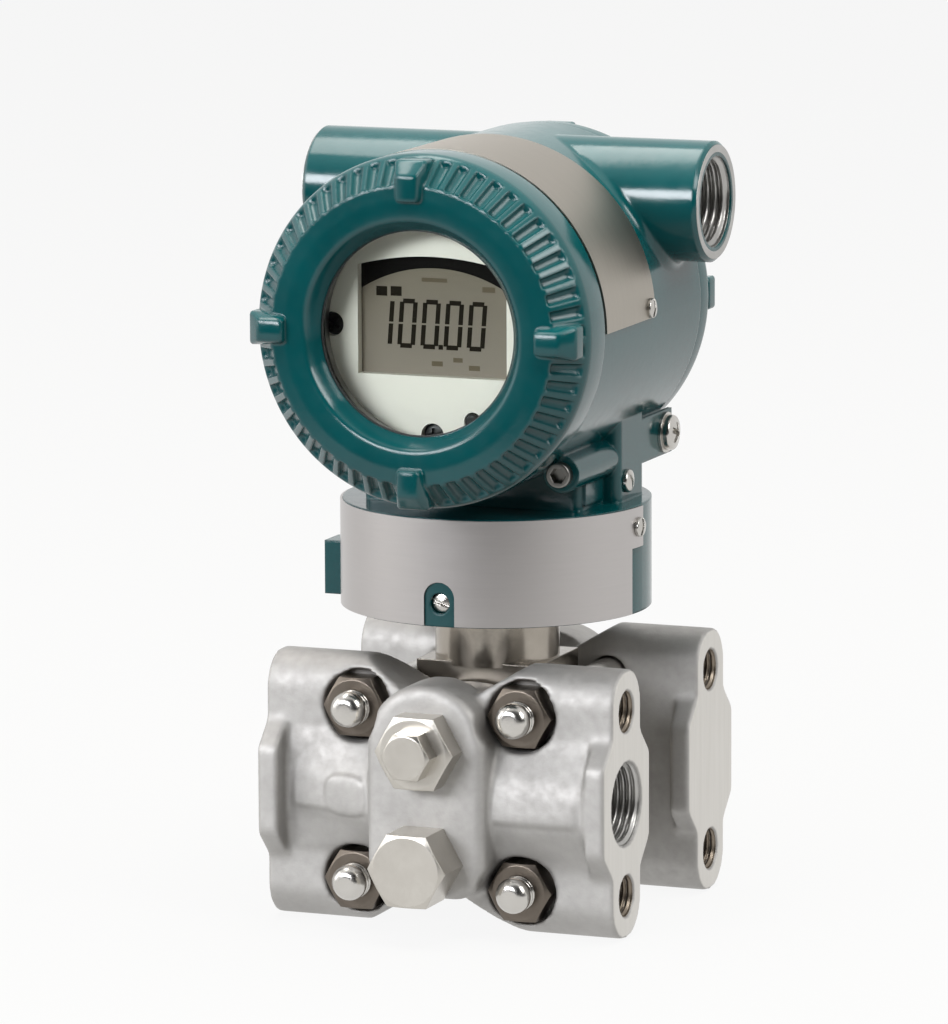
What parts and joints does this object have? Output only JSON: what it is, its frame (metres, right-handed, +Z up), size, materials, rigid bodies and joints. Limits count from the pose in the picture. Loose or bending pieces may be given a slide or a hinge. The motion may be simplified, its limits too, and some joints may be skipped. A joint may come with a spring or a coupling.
{
  "type": "pressure transmitter",
  "caption": "Differential pressure transmitter: a capsule bolted between process flanges carries a swivelling drum housing with a glazed display cover, blind rear cover and conduit tube.",
  "frame": {"origin": "on the neck's vertical axis, at the height of the flanges' undersides", "axes": "+X to the right as the display is read, +Y to the rear, +Z up the neck"},
  "size_m": [0.0942, 0.1114, 0.174],
  "materials": {
    "housing_paint": "glossy baked paint on die-cast aluminium",
    "cast_stainless": "bead-blasted cast stainless steel",
    "turned_stainless": "turned stainless steel",
    "bolting_steel": "bright bolt ends",
    "nut_steel": "dark chemically treated steel",
    "sheet_stainless": "satin stainless sheet",
    "plated_screw": "bright small screws",
    "seal_rubber": "black nitrile rubber",
    "seal_ptfe": "white ptfe",
    "window_glass": "clear hardened glass",
    "retaining_ring": "plain turned",
    "bezel_plastic": "off-white moulding",
    "black_plastic": "black moulding",
    "lcd": "grey-brown display",
    "electronics_case": "dark moulded case"
  },
  "bodies": {
    "capsule": {"capsule_body": "turned_stainless", "neck_o_ring": "seal_rubber", "sensor_unit": "electronics_case", "front_flange": "cast_stainless", "rear_flange": "cast_stainless", "front_diaphragm": "turned_stainless", "rear_diaphragm": "turned_stainless", "front_flange_gasket": "seal_ptfe", "rear_flange_gasket": "seal_ptfe", "front_drain_plug": "turned_stainless", "rear_drain_plug": "turned_stainless", "front_vent_plug": "turned_stainless", "rear_vent_plug": "turned_stainless", "flange_bolts": "bolting_steel", "flange_nuts": "nut_steel"},
    "front_vent_screw": {"front_vent_screw": "turned_stainless"},
    "rear_vent_screw": {"rear_vent_screw": "turned_stainless"},
    "housing": {"amplifier_housing": "housing_paint", "data_plate": "sheet_stainless", "name_plate": "sheet_stainless", "data_plate_screws": "plated_screw", "name_plate_screws": "plated_screw", "cover_lock_screws": "plated_screw", "swivel_lock_screws": "plated_screw", "ground_washer": "plated_screw", "ground_screw": "plated_screw", "cpu_assembly": "electronics_case", "indicator_bezel": "bezel_plastic", "lcd_panel": "lcd", "indicator_base": "electronics_case", "indicator_screws": "black_plastic", "terminal_block": "black_plastic", "terminal_screws": "plated_screw"},
    "zero_adjust_screw": {"zero_adjust_screw": "plated_screw"},
    "range_button": {"range_button": "black_plastic"},
    "display_cover_seal": {"display_cover_o_ring": "seal_rubber"},
    "display_cover": {"display_cover": "housing_paint", "window_gasket": "seal_rubber", "window_glass": "window_glass", "glass_retaining_ring": "retaining_ring"},
    "terminal_cover_seal": {"terminal_cover_o_ring": "seal_rubber"},
    "terminal_cover": {"terminal_cover": "housing_paint"}
  },
  "joints": [
    {"name": "housing_swivel", "type": "hinge", "parent": "capsule", "child": "housing", "pos_m": [0, 0, 0.076], "axis": [0, 0, 1], "range_deg": [-180, 180]},
    {"name": "front_vent_turn", "type": "hinge", "parent": "capsule", "child": "front_vent_screw", "pos_m": [0, -0.0509, 0.0427], "axis": [0, -1, 0], "range_deg": [0, 540]},
    {"name": "rear_vent_turn", "type": "hinge", "parent": "capsule", "child": "rear_vent_screw", "pos_m": [0, 0.0509, 0.0427], "axis": [0, 1, 0], "range_deg": [0, 540]},
    {"name": "zero_adjust_turn", "type": "hinge", "parent": "housing", "child": "zero_adjust_screw", "pos_m": [0.03, 0.0024, 0.097], "axis": [1, 0, 0], "continuous": true},
    {"name": "range_button_press", "type": "slide", "parent": "housing", "child": "range_button", "axis": [0, 1, 0], "range_m": [0, 0.0008], "stiffness_N_per_m": 800},
    {"name": "display_cover_turn", "type": "hinge", "parent": "housing", "child": "display_cover_seal", "pos_m": [0, -0.0362, 0.135], "axis": [0, -1, 0], "range_deg": [0, 1800]},
    {"name": "display_cover_travel", "type": "slide", "parent": "display_cover_seal", "child": "display_cover", "axis": [0, -1, 0], "range_m": [0, 0.0075]},
    {"name": "terminal_cover_turn", "type": "hinge", "parent": "housing", "child": "terminal_cover_seal", "pos_m": [0, 0.0302, 0.135], "axis": [0, 1, 0], "range_deg": [0, 1440]},
    {"name": "terminal_cover_travel", "type": "slide", "parent": "terminal_cover_seal", "child": "terminal_cover", "axis": [0, 1, 0], "range_m": [0, 0.006]}
  ],
  "couplings": [
    {"joint": "display_cover_travel", "follows": "display_cover_turn", "m_per_rad": 0.00023873},
    {"joint": "terminal_cover_travel", "follows": "terminal_cover_turn", "m_per_rad": 0.00023873}
  ]
}
